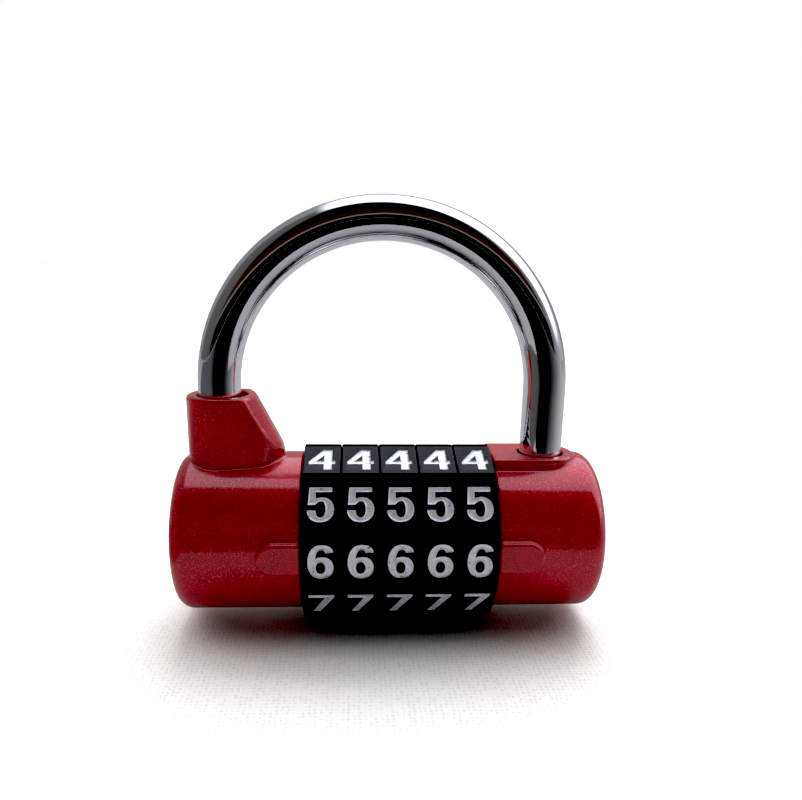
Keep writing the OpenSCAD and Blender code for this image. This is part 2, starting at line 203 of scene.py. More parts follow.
def chrome():
    """Polished plating, slightly wavy and hazy."""
    m, nodes, links, bsdf = material("chrome", 0.05, 1.0)
    haze = noise(nodes, links, 140, 3, 0.6)
    fine = noise(nodes, links, 2400, 2, 0.6)
    colour = ramp(nodes, links, haze, [(0.3, (0.72, 0.73, 0.76)), (0.7, (0.80, 0.80, 0.82))])
    links.new(colour, bsdf.inputs["Base Color"])
    links.new(ramp(nodes, links, fine, [(0.35, 0.035), (0.72, 0.10)]), bsdf.inputs["Roughness"])
    wave = noise(nodes, links, 420, 1, 0.5)
    waves = bump(nodes, links, wave, 0.10, 0.00004)
    bump(nodes, links, fine, 0.05, 0.00001, bsdf.inputs["Normal"], waves)
    return m


def metal(name, light, dark, rough, scale):
    """Bare machined metal, with fine turning marks round the body's axis."""
    m, nodes, links, bsdf = material(name, rough, 1.0)
    marks = noise(nodes, links, scale, 3, 0.6, (9, 1, 1))
    stain = noise(nodes, links, 200, 3, 0.6)
    links.new(ramp(nodes, links, stain, [(0.3, dark), (0.7, light)]), bsdf.inputs["Base Color"])
    shine = ramp(nodes, links, marks, [(0.3, rough - 0.08), (0.7, rough + 0.1)])
    links.new(shine, bsdf.inputs["Roughness"])
    bump(nodes, links, marks, 0.15, 0.00003, bsdf.inputs["Normal"])
    return m


MATERIALS = {
    "red_enamel": red_enamel(),
    "black_enamel": black_enamel(),
    "silver_paint": silver_paint(),
    "chrome": chrome(),
    "steel": metal("steel", (0.60, 0.61, 0.63), (0.46, 0.47, 0.49), 0.33, 700),
    "brass": metal("brass", (0.80, 0.60, 0.28), (0.62, 0.43, 0.17), 0.3, 700),
}

for row in frame["record"]["subparts"]:
    node_data = frame["nodes"][row["node"]].data
    node_data.materials.clear()
    node_data.materials.append(MATERIALS[row["material_slot"]])


def place_object(name, data):
    """A new object in the scene, at the origin."""
    obj = bpy.data.objects.new(name, data)
    scene.collection.objects.link(obj)
    return obj


def piece(name, mesh, body, slot, *nodes):
    """Puts a finished mesh into the scene in place of CAD nodes."""
    mesh.transform(PLACE)
    mesh.materials.append(MATERIALS[slot])
    obj = place_object(name, mesh)
    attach(obj, body)
    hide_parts(*nodes)
    return obj


# ---------------------------------------------------------------- shapes as signed distances
# A shape is a number at each point: below zero inside, zero on the surface.

def union(a, b, r=0.0):
    """Both shapes, with a fillet of radius r where they meet."""
    if not r:
        return np.minimum(a, b)
    return np.maximum(r, np.minimum(a, b)) - np.hypot(np.maximum(r - a, 0), np.maximum(r - b, 0))


def meet(a, b, r=0.0):
    """What lies in both shapes, with the edge rounded to radius r."""
    if not r:
        return np.maximum(a, b)
    return np.minimum(-r, np.maximum(a, b)) + np.hypot(np.maximum(r + a, 0), np.maximum(r + b, 0))


def cut(a, b, r=0.0):
    """The shape a without b, with the edge rounded to radius r."""
    return meet(a, -b, r)


def solid(name, shape, low, high, step):
    """A mesh of shape's surface within a box: a net over a grid of that step, pulled onto it."""
    axes = [np.arange(a, b + step, step) for a, b in zip(low, high)]
    plane = np.meshgrid(axes[1], axes[2], indexing="ij")
    grid = np.stack([shape(x0, *plane) for x0 in axes[0]])
    inside = grid < 0
    # a vertex for each cell of the grid with corners both inside and outside
    cells = [n - 1 for n in grid.shape]
    count = sum(inside[i:i + cells[0], j:j + cells[1], k:k + cells[2]].astype(np.int8)
                for i in (0, 1) for j in (0, 1) for k in (0, 1))
    cell = np.argwhere((count > 0) & (count < 8))
    index = np.full(cells, -1)
    index[tuple(cell.T)] = np.arange(len(cell))
    total, hits = np.zeros((len(cell), 3)), np.zeros(len(cell))
    unit = np.eye(3, dtype=int)
    faces = []
    for d in range(3):
        e1, e2 = (d + 1) % 3, (d + 2) % 3
        # the vertex goes to the mean of the places where the cell's edges cross the surface
        for corner in (0 * unit[e1], unit[e2], unit[e1], unit[e1] + unit[e2]):
            start = cell + corner
            a, b = grid[tuple(start.T)], grid[tuple((start + unit[d]).T)]
            crossed = (a < 0) != (b < 0)
            share = a[crossed] / (a[crossed] - b[crossed])
            total[crossed] += corner + share[:, None] * unit[d]
            hits[crossed] += 1
        # a face round each grid edge that crosses the surface
        near = inside.take(range(cells[d]), axis=d)
        far = inside.take(range(1, cells[d] + 1), axis=d)
        at = np.argwhere(near != far)
        at = at[(at[:, e1] > 0) & (at[:, e2] > 0) & (at[:, e1] < cells[e1]) & (at[:, e2] < cells[e2])]
        around = (0 * unit[0], unit[e1], unit[e1] + unit[e2], unit[e2])
        quad = np.stack([index[tuple((at - s).T)] for s in around], 1)
        outward = near[tuple(at.T)]
        faces.append(np.where(outward[:, None], quad, quad[:, ::-1]))
    co = np.array(low) + step * (cell + total / hits[:, None])

    def slope_at(p):
        e = 0.004
        return np.stack([(shape(*(p + e * s).T) - shape(*(p - e * s).T)) / (2 * e) for s in np.eye(3)], 1)

    for _ in range(4):
        g = slope_at(co)
        move = shape(*co.T) / np.maximum((g * g).sum(1), 0.1)
        co -= np.clip(move, -step, step)[:, None] * g
    normal = slope_at(co)
    normal /= np.maximum(np.linalg.norm(normal, axis=1), 1e-6)[:, None]
    mesh = bpy.data.meshes.new(name)
    mesh.from_pydata(co.tolist(), [], np.concatenate(faces).tolist())
    mesh.shade_smooth()
    mesh.normals_split_custom_set_from_vertices(normal.tolist())
    return mesh


# ---------------------------------------------------------------- cast housings

END_ROUNDING, FACE_ROUNDING, MOUTH_ROUNDING = 2.8, 0.5, 0.4
# The collar is an oval in plan that narrows from COLLAR_R at the leg to COLLAR_TIP_R.
COLLAR_TOP, COLLAR_LENGTH, COLLAR_R, COLLAR_TIP_R = 27.0, 6.5, 6.2, 5.5
COLLAR_MOUTH_X, COLLAR_MOUTH_R, COLLAR_MOUTH_DEPTH = -31.5, 4.75, 2
RAMP_FOOT_X, RAMP_TOP_X = -19.7, -25.8
RAMP_CROWN, RAMP_CURVE = 0.35, 0.03
RAMP_HALF_WIDTH, RAMP_BEVEL = 3.2, math.radians(24)
PAD_R, PAD_TOP, PAD_PAST_TOE = 6.3, 15.8, 0.2
PILL_R, PILL_Y, LEFT_PILL_X, RIGHT_PILL_X = 3, -16.05, -21.3, 24.5
# The collar and the pad start at ROOT_Z and the pills at ROOT_Y, well inside the body.
ROOT_Z, ROOT_Y = 4, -8
# Bores and seats, as the CAD has them.
CAPTIVE_BORE_R, CAPTIVE_BORE_FLOOR, TOE_HOLE_R, TOE_HOLE_FLOOR = 4.05, -13, 4.4, -7
WASHER_SEAT_R, WASHER_SEAT = 11.55, 0.45
TUBE_SEAT_R, LEFT_TUBE_SEAT, RIGHT_TUBE_SEAT = 6.22, 7.7, 4.1
SPRING_BORE_R, SPRING_BORE_FROM_LEG, NOSE_BORE_R = 3.6, 5.3, 2.45
PLUG_SEAT_R, PLUG_LENGTH = 2.5, 4
TUBE_PIN_R, TUBE_PIN_Z, TUBE_PIN_Y, LEFT_TUBE_PIN, RIGHT_TUBE_PIN = 1, -6.2, -7, 4, 2.2
SHACKLE_PIN_R = 1.25


def collar_shape(x, y, z):
    """The tall collar round the captive leg, cut off by a crowned ramp with bevelled sides."""
    lean = (COLLAR_R - COLLAR_TIP_R) / COLLAR_LENGTH
    cos_lean = math.sqrt(1 - lean * lean)
    u, v = x - CAPTIVE_X, np.abs(y)
    along = u * cos_lean - v * lean
    side = u * lean + v * cos_lean - COLLAR_R
    tip = np.hypot(u - COLLAR_LENGTH, v) - COLLAR_TIP_R
    plan = np.where(along < 0, np.hypot(u, v) - COLLAR_R,
                    np.where(along > COLLAR_LENGTH * cos_lean, tip, side))
    collar = meet(plan, z - COLLAR_TOP, 0.75)
    slope = math.atan2(COLLAR_TOP - BODY_R, RAMP_FOOT_X - RAMP_TOP_X)
    ramp_face = (x - RAMP_TOP_X) * math.sin(slope) + (z - COLLAR_TOP) * math.cos(slope)
    crowned = ramp_face - RAMP_CROWN + RAMP_CURVE * v * v
    bevel = ramp_face * math.cos(RAMP_BEVEL) + (v - RAMP_HALF_WIDTH) * math.sin(RAMP_BEVEL)
    collar = meet(meet(collar, crowned, 0.6), bevel, 0.5)
    return meet(collar, ROOT_Z - z)


def pad_shape(x, y, z):
    """The flat pad round the toe's hole."""
    pad = meet(np.hypot(np.maximum(x - TOE_X - PAD_PAST_TOE, 0), y) - PAD_R, z - PAD_TOP, 0.5)
    return meet(pad, ROOT_Z - z)


def pill_shape(past_end, y, z):
    """An index pill on the front; past_end is the distance beyond the centre of its round end."""
    pill = meet(np.hypot(np.maximum(past_end, 0), z) - PILL_R, PILL_Y - y, 0.55)
    return meet(pill, y - ROOT_Y)


def left_shape(x, y, z):
    radius = np.hypot(y, z)
    shape = meet(radius - BODY_R, LEFT_END - x, END_ROUNDING)
    shape = union(shape, collar_shape(x, y, z), 0.45)
    shape = union(shape, pill_shape(LEFT_PILL_X - x, y, z), 0.35)
    shape = meet(shape, x - LEFT_FACE, FACE_ROUNDING)
    mouth = meet(np.hypot(x - COLLAR_MOUTH_X, y) - COLLAR_MOUTH_R, COLLAR_TOP - COLLAR_MOUTH_DEPTH - z)
    shape = cut(shape, mouth, MOUTH_ROUNDING)
    for bore in (
            meet(np.hypot(x - CAPTIVE_X, y) - CAPTIVE_BORE_R, CAPTIVE_BORE_FLOOR - z),
            meet(radius - WASHER_SEAT_R, LEFT_FACE - WASHER_SEAT - x),
            meet(radius - TUBE_SEAT_R, GROUP_LEFT - LEFT_TUBE_SEAT - x),
            meet(radius - SPRING_BORE_R, CAPTIVE_X + SPRING_BORE_FROM_LEG - x),
            meet(np.hypot(x - GROUP_LEFT + LEFT_TUBE_PIN, z - TUBE_PIN_Z) - TUBE_PIN_R, TUBE_PIN_Y - y),
            meet(np.hypot(y, z - PIN_Z) - SHACKLE_PIN_R, CAPTIVE_X - x)):
        shape = cut(shape, bore)
    return shape


def right_shape(x, y, z):
    radius = np.hypot(y, z)
    shape = meet(radius - BODY_R, x - RIGHT_END, END_ROUNDING)
    shape = union(shape, pad_shape(x, y, z), 0.55)
    shape = union(shape, pill_shape(x - RIGHT_PILL_X, y, z), 0.35)
    shape = meet(shape, RIGHT_FACE - x, FACE_ROUNDING)
    shape = cut(shape, meet(np.hypot(x - TOE_X, y) - TOE_HOLE_R, TOE_HOLE_FLOOR - z), MOUTH_ROUNDING)
    for bore in (
            meet(radius - WASHER_SEAT_R, x - RIGHT_FACE - WASHER_SEAT),
            meet(radius - TUBE_SEAT_R, x - GROUP_RIGHT - RIGHT_TUBE_SEAT),
            meet(radius - NOSE_BORE_R, x - RIGHT_END + PLUG_LENGTH)):
        shape = cut(shape, bore)
    shape = cut(shape, meet(radius - PLUG_SEAT_R, RIGHT_END - PLUG_LENGTH - 0.1 - x), 0.12)
    pin = np.hypot(x - GROUP_RIGHT - RIGHT_TUBE_PIN, z - TUBE_PIN_Z) - TUBE_PIN_R
    return cut(shape, meet(pin, TUBE_PIN_Y - y))


STEP = 0.22
for name, shape, low, high in (
        ("left_housing", left_shape, (-40.6, -16.7, -15.9), (-15.9, 15.9, 27.6)),
        ("right_housing", right_shape, (18.8, -16.7, -15.9), (40.0, 15.9, 16.6))):
    cast = name + "_cast"
    piece(cast, solid(cast, shape, low, high, STEP), "body", "red_enamel", name)


# ---------------------------------------------------------------- outlines of the digits

def curve(a, b, turn, n=9):
    """A quarter curve from a to b; turn is H or V, the direction in which it starts."""
    k = 0.6
    (x0, y0), (x1, y1) = a, b
    if turn == "H":
        c, d = (x0 + k * (x1 - x0), y0), (x1, y1 - k * (y1 - y0))
    else:
        c, d = (x0, y0 + k * (y1 - y0)), (x1 - k * (x1 - x0), y1)
    t = np.linspace(0, 1, n + 1)[1:, None]
    return ((1 - t) ** 3 * a + 3 * t * (1 - t) ** 2 * np.array(c)
            + 3 * t * t * (1 - t) * np.array(d) + t ** 3 * np.array(b)).tolist()


def outline(start, *moves):
    """A closed outline from lines (x, y) and quarter curves (turn, x, y)."""
    longest = 0.6
    points = [list(start)]
    for move in moves:
        if len(move) == 2:
            a, b = np.array(points[-1]), np.array(move)
            if np.allclose(a, b):
                continue
            n = max(1, round(float(np.linalg.norm(b - a)) / longest))
            points += [(a + (b - a) * i / n).tolist() for i in range(1, n + 1)]
        else:
            points += curve(np.array(points[-1]), np.array(move[1:]), move[0])
    if np.allclose(points[0], points[-1]):
        points.pop()
    return np.array(points)


def oval(cx, cy, rx, ry, flat=0.0):
    """An oval whose sides run straight for a height of flat above and below its middle."""
    return outline((cx, cy + ry), ("H", cx + rx, cy + flat), (cx + rx, cy - flat), ("V", cx, cy - ry),
                   ("H", cx - rx, cy - flat), (cx - rx, cy + flat), ("V", cx, cy + ry))


# Each digit is its outer outline and then its counters, about the middle of its number face.
SIX = [
    outline((0.1, 3.2), ("H", 2.35, 1.75), (0.9, 1.66), ("V", 0.15, 2.25), ("H", -0.92, 0.5),
            ("V", 0.45, 0.88), ("H", 2.38, -1.15), ("V", 0, -3.2), ("H", -2.4, -0.2), ("V", 0.1, 3.2)),
    oval(0, -1.2, 0.88, 1.1)]
DIGITS = [
    [oval(0, 0, 2.4, 3.2, 1.1), oval(0, 0, 0.9, 2.3, 1.0)],
    [outline((0.3, 3.2), (1.25, 3.2), (1.25, -3.2), (-0.25, -3.2), (-0.25, 1.45), (-1.75, 1.45),
             (-1.75, 2.2), ("H", 0.3, 3.2))],
    [outline((-2.3, 1.2), ("V", 0.05, 3.2), ("H", 2.35, 1.4), ("V", 1.1, -0.4), (-0.55, -2.25),
             (2.35, -2.25), (2.35, -3.2), (-2.4, -3.2), ("V", -1.3, -1.5), (0.3, 0.2),
             ("H", 0.88, 1.3), ("V", 0.05, 2.35), ("H", -0.85, 1.2))],
    [outline((0, 3.2), ("H", 2.2, 1.6), ("V", 1.25, 0.2), ("H", 2.4, -1.35), ("V", 0, -3.2),
             ("H", -2.4, -1.3), (-0.9, -1.3), ("V", 0, -2.35), ("H", 0.9, -1.3), ("V", 0.1, -0.3),
             (-0.5, -0.3), (-0.5, 0.6), (0, 0.6), ("H", 0.8, 1.42), ("V", 0, 2.35), ("H", -0.85, 1.4),
             (-2.25, 1.4), ("V", 0, 3.2))],
    [outline((0.2, 3.2), (1.87, 3.2), (1.87, -0.45), (2.45, -0.45), (2.45, -1.4), (1.87, -1.47),
             (1.87, -3.2), (0.36, -3.2), (0.36, -1.47), (-2.45, -1.47), (-2.45, -0.75)),
     outline((0.36, -0.45), (0.36, 1.35), (-0.98, -0.45))],
    [outline((-2.05, 3.2), (2.05, 3.2), (2.05, 2.34), (-0.9, 2.34), (-0.85, 1.15), (0.2, 1.36),
             ("H", 2.4, -0.85), ("V", -0.05, -3.2), ("H", -2.4, -1.04), (-0.87, -1.04),
             ("V", 0, -2.36), ("H", 0.89, -0.9), ("V", 0.15, 0.66), (-0.35, 0.55), (-1.0, -0.02),
             (-2.26, -0.04))],
    SIX,
    [outline((-2.4, 3.2), (2.45, 3.2), (2.45, 2.4), (-0.35, -3.2), (-1.75, -3.2), (0.7, 2.15),
             (-2.4, 2.15))],
    [outline((0, 3.2), ("H", 2.15, 1.65), ("V", 1.25, 0.2), ("H", 2.4, -1.35), ("V", 0, -3.2),
             ("H", -2.4, -1.35), ("V", -1.25, 0.2), ("H", -2.15, 1.65), ("V", 0, 3.2)),
     oval(0, 1.5, 0.78, 0.8), oval(0, -1.35, 0.9, 1.02)],
    [-loop for loop in SIX],
]
NARROWER = {6: 0.96, 7: 0.965, 9: 0.96}
for digit, factor in NARROWER.items():
    DIGITS[digit] = [loop * (factor, 1) for loop in DIGITS[digit]]


# ---------------------------------------------------------------- flat outlines and meshes

def area(points):
    """The area inside a closed outline, below zero if it runs clockwise."""
    x, y = points.T
    return 0.5 * float(np.sum(x * np.roll(y, -1) - np.roll(x, -1) * y))


def grown(points, d):
    """A closed counter-clockwise outline moved outward by d."""
    edge = np.roll(points, -1, 0) - points
    edge /= np.linalg.norm(edge, axis=1)[:, None]
    normal = np.stack([edge[:, 1], -edge[:, 0]], 1)
    before = np.roll(normal, 1, 0)
    middle = (normal + before) / np.maximum(1 + (normal * before).sum(1), 0.45)[:, None]
    return points + d * middle


def inside_of(points, loops):
    """How many loops each point lies in."""
    n = np.zeros(len(points), int)
    for loop in loops:
        a, b = loop, np.roll(loop, -1, 0)
        x, y = points[:, :1], points[:, 1:]
        crosses = ((a[:, 1] > y) != (b[:, 1] > y)) & (
            x < (b[:, 0] - a[:, 0]) * (y - a[:, 1]) / (b[:, 1] - a[:, 1] + 1e-30) + a[:, 0])
        n += crosses.sum(1) % 2
    return n


def filled(loops):
    """Triangles between closed outlines, wherever an odd number of them goes round."""
    points = np.concatenate(loops)
    edges, start = [], 0
    for loop in loops:
        n = len(loop)
        edges += [(start + i, start + (i + 1) % n) for i in range(n)]
        start += n
    out = delaunay_2d_cdt([Vector(p) for p in points.tolist()], edges, [], 0, 1e-6, False)
    co, tris = np.array([tuple(v) for v in out[0]]), np.array([f for f in out[2] if len(f) == 3])
    tris = tris[inside_of(co[tris].mean(1), loops) % 2 == 1]
    a, b, c = (co[tris[:, i]] for i in range(3))
    turned = (b[:, 0] - a[:, 0]) * (c[:, 1] - a[:, 1]) - (b[:, 1] - a[:, 1]) * (c[:, 0] - a[:, 0]) < 0
    tris[turned] = tris[turned][:, ::-1]
    return co, tris


class Builder:
    """Collects faces given as points; equal points are merged when the mesh is made."""

    def __init__(self):
        self.co, self.faces, self.n = [], [], 0

    def put(self, points, faces):
        self.co.append(np.asarray(points, float))
        self.faces += (np.asarray(faces) + self.n).tolist()
        self.n += len(points)

    def band(self, a, b):
        """Quads between two closed rows, facing out if the rows run counter-clockwise seen from b."""
        n = len(a)
        i = np.arange(n)
        j = (i + 1) % n
        self.put(np.concatenate([a, b]), np.stack([i, j, j + n, i + n], 1))

    def mesh(self, name, sharp=35):
        """The finished mesh, smooth but for edges of more than sharp degrees."""
        data = bpy.data.meshes.new(name)
        data.from_pydata(np.concatenate(self.co).tolist(), [], self.faces)
        work = bmesh.new()
        work.from_mesh(data)
        bmesh.ops.remove_doubles(work, verts=work.verts, dist=1e-5)
        bmesh.ops.dissolve_degenerate(work, dist=1e-6, edges=work.edges)
        work.to_mesh(data)
        work.free()
        data.shade_smooth()
        data.set_sharp_from_angle(angle=math.radians(sharp))
        return data


# ---------------------------------------------------------------- dials and numerals

# Heights of a number face and of the grooves' floors, a groove's half width and a dial's half width.
FLAT_R, FLOOR_R, GROOVE, HALF = 16.38, 15.9, 0.6863, 3.5
EDGE_ROUNDING = 0.26
TEN = math.radians(36)
FRONT_DIGIT = 6
# A dial's rounded rim: places across the dial, and how far the outline is drawn in at each.
SIDE_STEPS = [(HALF, 0.3), (HALF - 0.03, 0.18), (HALF - 0.09, 0.08), (HALF - 0.18, 0.022), (HALF - 0.3, 0.0)]
RECESS = 0.3
# The recess's rounded lip: how far it is wider than the numeral, and how deep.
LIP = [(0.05, 0.0), (0.015, 0.015), (0.0, 0.05), (0.0, RECESS)]
# The paint in the recess climbs its wall: how far in from the wall, and how deep.
PAINT = [(0.0, RECESS), (0.0, 0.02), (0.05, 0.05), (0.11, 0.11), (0.17, 0.165), (0.23, 0.185)]
# The dial's bore, with ten slots for the code ring's splines.
BORE_R, SLOT_R, HALF_SLOT = 12.05, 12.85, 0.85


def on_facet(digit, points, w):
    """Points (u, v) on a digit's number face, at height w from the axis."""
    t = (FRONT_DIGIT - digit) * TEN
    u, v = points[:, 0], points[:, 1]
    w = np.broadcast_to(w, u.shape)
    return np.stack([u, -w * math.cos(t) + v * math.sin(t), w * math.sin(t) + v * math.cos(t)], 1)


def facet_profile():
    """Half of a number face's section, from its flat's end to the groove's floor, as (v, w)."""
    s, c = math.sin(TEN / 2), math.cos(TEN / 2)
    top = np.array([(FLAT_R * s - GROOVE) / c, FLAT_R])
    foot = np.array([FLOOR_R * s - GROOVE * c, FLOOR_R * c + GROOVE * s])
    down = (foot - top) / np.linalg.norm(foot - top)
    a, b = top - np.array([EDGE_ROUNDING, 0]), top + down * EDGE_ROUNDING
    arc = [((1 - t) ** 2 * a + 2 * t * (1 - t) * top + t * t * b) for t in (0, 0.25, 0.5, 0.75, 1)]
    return np.array(arc + [foot])


PROFILE = facet_profile()
FACE_U, FACE_V = SIDE_STEPS[-1][0], PROFILE[0, 0]


def section():
    """The dial's outline in the plane across the axis, as (y, z), one number face after another."""
    face = np.concatenate([PROFILE[::-1] * (-1, 1), PROFILE])
    across = np.stack([0 * face[:, 0], face[:, 0]], 1)
    # the faces go down as the digits rise, so go round from 9 to 0
    return np.concatenate([on_facet(digit, across, face[:, 1])[:, 1:] for digit in range(9, -1, -1)])


def bore_outline():
    """The slotted bore in the plane across the axis."""
    edge = math.asin(HALF_SLOT / BORE_R)
    mouth = math.sqrt(BORE_R * BORE_R - HALF_SLOT ** 2)
    slot = [(mouth, -HALF_SLOT), (SLOT_R, -HALF_SLOT), (SLOT_R, HALF_SLOT), (mouth, HALF_SLOT)]
    points = []
    for k in range(10):
        turn = k * TEN - math.pi / 2
        c, s = math.cos(turn), math.sin(turn)
        points += [(x * c - y * s, x * s + y * c) for x, y in slot]
        for t in np.linspace(edge, TEN - edge, 9)[1:-1]:
            points.append((BORE_R * math.cos(turn + t), BORE_R * math.sin(turn + t)))
    return np.array(points)


def at_u(points, u):
    """Points (y, z) of the dial's section, at the place u across the dial."""
    return np.concatenate([np.full((len(points), 1), u), points], 1)


def digit_loops():
    """Each digit with its outlines, all counter-clockwise, and +1 for its outer one or -1 for a counter."""
    for digit, loops in enumerate(DIGITS):
        loops = [loop if area(loop) > 0 else loop[::-1] for loop in loops]
        yield digit, list(zip(loops, [1] + [-1] * (len(loops) - 1)))


def dial_mesh():
    """A dial with its ten number faces, rounded rims and edges, recessed digits and slotted bore."""
    b = Builder()
    ring = section()
    if area(ring) < 0:
        ring = ring[::-1]
    places = [(-u, d) for u, d in SIDE_STEPS] + [(u, d) for u, d in SIDE_STEPS[::-1]]
    rows = [at_u(grown(ring, -d), u) for u, d in places]
    middle = len(SIDE_STEPS) - 1
    for k, (a, c) in enumerate(zip(rows, rows[1:])):
        i = np.arange(len(ring))
        if k == middle:
            # the number faces' flats are made below, round their digits
            i = i[i % (2 * len(PROFILE)) != len(PROFILE) - 1]
        j = (i + 1) % len(ring)
        b.put(np.concatenate([a, c]), np.stack([i, j, j + len(ring), i + len(ring)], 1)[:, ::-1])
    hole = bore_outline()
    for side, row in ((-1, rows[0]), (1, rows[-1])):
        co, tris = filled([row[:, 1:], hole])
        b.put(at_u(co, side * HALF), tris if side > 0 else tris[:, ::-1])
    b.band(at_u(hole, -HALF), at_u(hole, HALF))
    flat = np.array([(-FACE_U, -FACE_V), (FACE_U, -FACE_V), (FACE_U, FACE_V), (-FACE_U, FACE_V)])
    for digit, loops in digit_loops():
        co, tris = filled([flat] + [grown(loop, sign * LIP[0][0]) for loop, sign in loops])
        b.put(on_facet(digit, co, FLAT_R), tris)
        co, tris = filled([loop for loop, sign in loops])
        b.put(on_facet(digit, co, FLAT_R - RECESS), tris)
        for loop, sign in loops:
            walls = [on_facet(digit, grown(loop, sign * out), FLAT_R - deep) for out, deep in LIP]
            for a, c in zip(walls, walls[1:]):
                b.band(*((a, c) if sign > 0 else (c, a)))
    return b.mesh("dial")


def numerals_mesh():
    """The paint in a dial's ten recesses."""
    b = Builder()
    for digit, loops in digit_loops():
        for loop, sign in loops:
            rows = [on_facet(digit, grown(loop, -sign * d), FLAT_R - deep) for d, deep in PAINT]
            for a, c in zip(rows, rows[1:]):
                b.band(*((a, c) if sign > 0 else (c, a)))
        for (d, deep), flip in ((PAINT[-1], False), (PAINT[0], True)):
            co, tris = filled([grown(loop, -sign * d) for loop, sign in loops])
            b.put(on_facet(digit, co, FLAT_R - deep), tris[:, ::-1] if flip else tris)
    return b.mesh("numerals", 50)


dial_base, numerals_base = dial_mesh(), numerals_mesh()
for i, (name, x) in enumerate(zip(DIAL_NAMES, DIAL_X), 1):
    for base, label, slot in (
            (dial_base, name, "black_enamel"), (numerals_base, "numerals_%d" % i, "silver_paint")):
        mesh = base.copy()
        mesh.transform(Matrix.Translation((x, 0, 0)))
        piece(label + "_cut", mesh, name, slot, label)


# ---------------------------------------------------------------- shackle

CAPTIVE_END, TOE_END = -12.6, -6.0
# Half the height of the groove that the pin meets at the end of the lift, and its depth in the rod.
GROOVE_HALF, GROOVE_DEPTH = 1.4, 1.1
NOTCH_HALF, NOTCH_DEPTH = 3.5, 2.0


def shackle_mesh():
    """The rod, with chamfered ends and the groove near the captive leg's end."""
    groove = PIN_Z - LIFT
    just_inside = GROOVE_HALF - 0.0001
    rows = [(CAPTIVE_X, z, r) for z, r in (
        (CAPTIVE_END, ROD_R - 0.8), (CAPTIVE_END + 0.25, ROD_R - 0.5), (CAPTIVE_END + 0.8, ROD_R),
        (groove - GROOVE_HALF, ROD_R), (groove - just_inside, ROD_R - GROOVE_DEPTH),
        (groove + just_inside, ROD_R - GROOVE_DEPTH), (groove + GROOVE_HALF, ROD_R))]
    rows += [(CAPTIVE_X, z, ROD_R) for z in np.linspace(0, ARCH_Z, 8)]
    for t in np.linspace(math.pi, 0, 97)[1:-1]:
        rows.append((ARCH_X + ARCH_R * math.cos(t), ARCH_Z + ARCH_R * math.sin(t), ROD_R))
    rows += [(TOE_X, z, ROD_R) for z in np.linspace(ARCH_Z, TOE_END + 1, 12)]
    rows += [(TOE_X, TOE_END + 0.3, ROD_R - 0.65), (TOE_X, TOE_END, ROD_R - 1)]
    around = np.linspace(0, 2 * math.pi, 128, endpoint=False)
    rings = []
    for x, z, r in rows:
        # out is the direction away from the arch's centre
        if z > ARCH_Z - 1e-6 and CAPTIVE_X < x < TOE_X:
            t = math.atan2(z - ARCH_Z, x - ARCH_X)
            out = (math.cos(t), math.sin(t))
        else:
            out = (-1, 0) if x < 0 else (1, 0)
        away = r * np.cos(around)
        rings.append(np.stack([x + away * out[0], r * np.sin(around), z + away * out[1]], 1))
    b = Builder()
    for p, q in zip(rings, rings[1:]):
        b.band(p, q)
    for ring, flip in ((rings[0], False), (rings[-1], True)):
        n = len(ring)
        i = np.arange(n)
        fan = np.stack([i, np.full(n, n), (i + 1) % n], 1)
        b.put(np.concatenate([ring, ring.mean(0)[None]]), fan[:, ::-1] if flip else fan)
    return b.mesh("shackle_chromed", 30)


def prism(name, outline_xz):
    """A block right across the rod, for cutting a flat or a notch."""
    reach = 6
    b = Builder()
    c = np.array(outline_xz, float)
    front, back = (np.stack([c[:, 0], np.full(len(c), y), c[:, 1]], 1) for y in (-reach, reach))
    b.band(back, front)
    order = list(range(len(c)))
    b.put(front, [order])
    b.put(back, [order[::-1]])
    return place_object(name, b.mesh(name))


def carve(mesh, cutters):
    """Subtracts the cutters and returns the finished mesh."""
    obj = place_object("work", mesh)
    for cutter in cutters:
        mod = obj.modifiers.new("cut", "BOOLEAN")
        mod.operation = "DIFFERENCE"
        mod.solver = "EXACT"
        mod.object = cutter
    bpy.context.view_layer.update()
    done = bpy.data.meshes.new_from_object(obj.evaluated_get(bpy.context.evaluated_depsgraph_get()))
    for used in [obj] + cutters:
        bpy.data.objects.remove(used)
    done.shade_smooth()
    done.set_sharp_from_angle(angle=math.radians(30))
    return done


def shackle_cutters():
    """The flat along which the pin runs, and the toe's notch with its flanks at 45 degrees."""
    near, far = CAPTIVE_X + ROD_R - GROOVE_DEPTH, CAPTIVE_X + ROD_R - GROOVE_DEPTH + 5
    low, high = PIN_Z - LIFT, PIN_Z + GROOVE_HALF
    edge = TOE_X - ROD_R
    return [
        prism("flat", [(near, low), (far, low), (far, high), (near, high)]),
        prism("notch", [(edge - 1, -NOTCH_HALF - 1), (edge + NOTCH_DEPTH, -NOTCH_HALF + NOTCH_DEPTH),
                        (edge + NOTCH_DEPTH, NOTCH_HALF - NOTCH_DEPTH), (edge - 1, NOTCH_HALF + 1)])]


piece("shackle_chromed", carve(shackle_mesh(), shackle_cutters()), "shackle", "chrome", "shackle")


# ---------------------------------------------------------------- end plug

